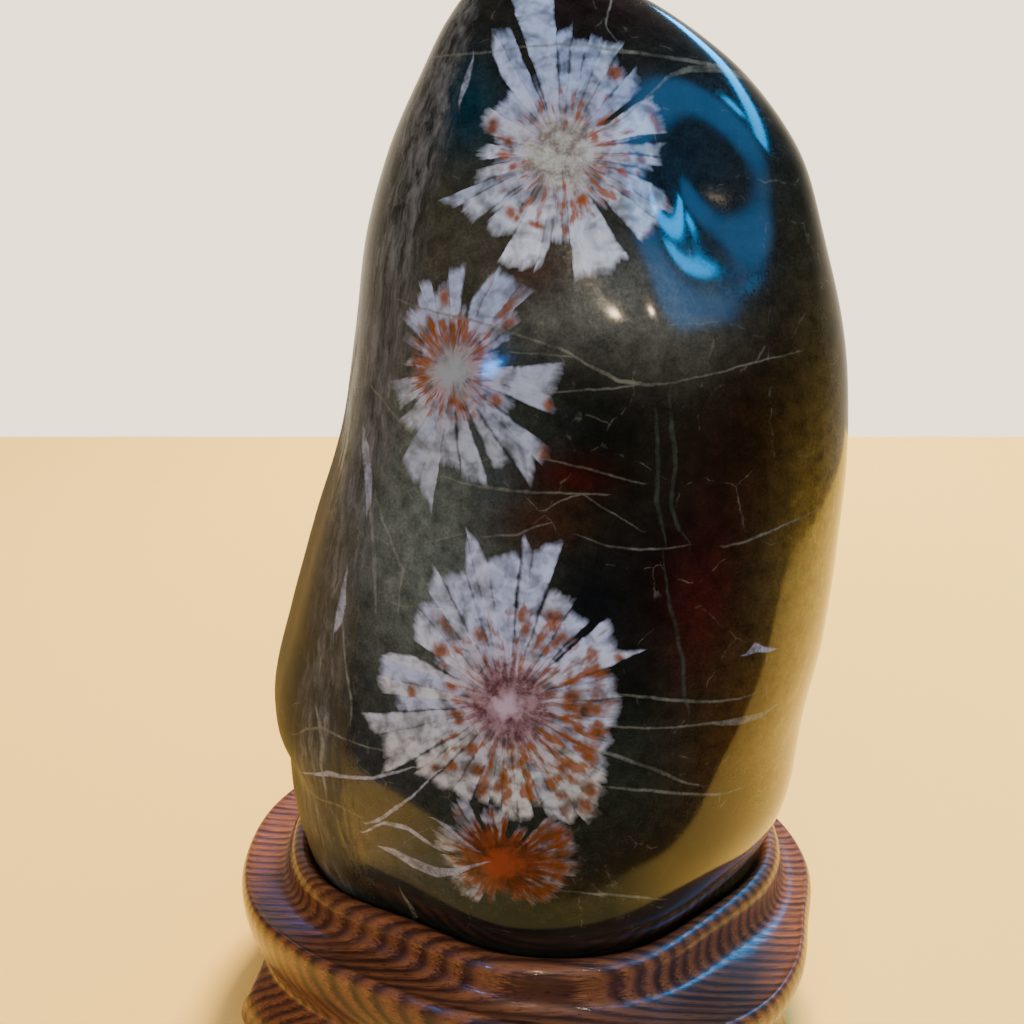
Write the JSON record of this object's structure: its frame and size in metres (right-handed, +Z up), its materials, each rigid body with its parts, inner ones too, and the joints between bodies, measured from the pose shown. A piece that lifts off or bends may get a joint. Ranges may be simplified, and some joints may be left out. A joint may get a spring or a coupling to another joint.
{
  "type": "chrysanthemum stone on a carved stand",
  "caption": "Polished upright stone with flower-like crystal markings, resting in the fitted seat of a low carved wooden stand.",
  "frame": {"origin": "middle of the stand's footprint, on the surface that its feet stand on", "axes": "+Z up along the stone, +X to the right of the flowered face, +Y away from a viewer of that face"},
  "size_m": [0.1464, 0.1171, 0.237],
  "materials": {
    "stone": "polished",
    "stand_wood": "gloss lacquer"
  },
  "bodies": {
    "root": {"stone": "stone", "stand": "stand_wood"}
  },
  "joints": []
}
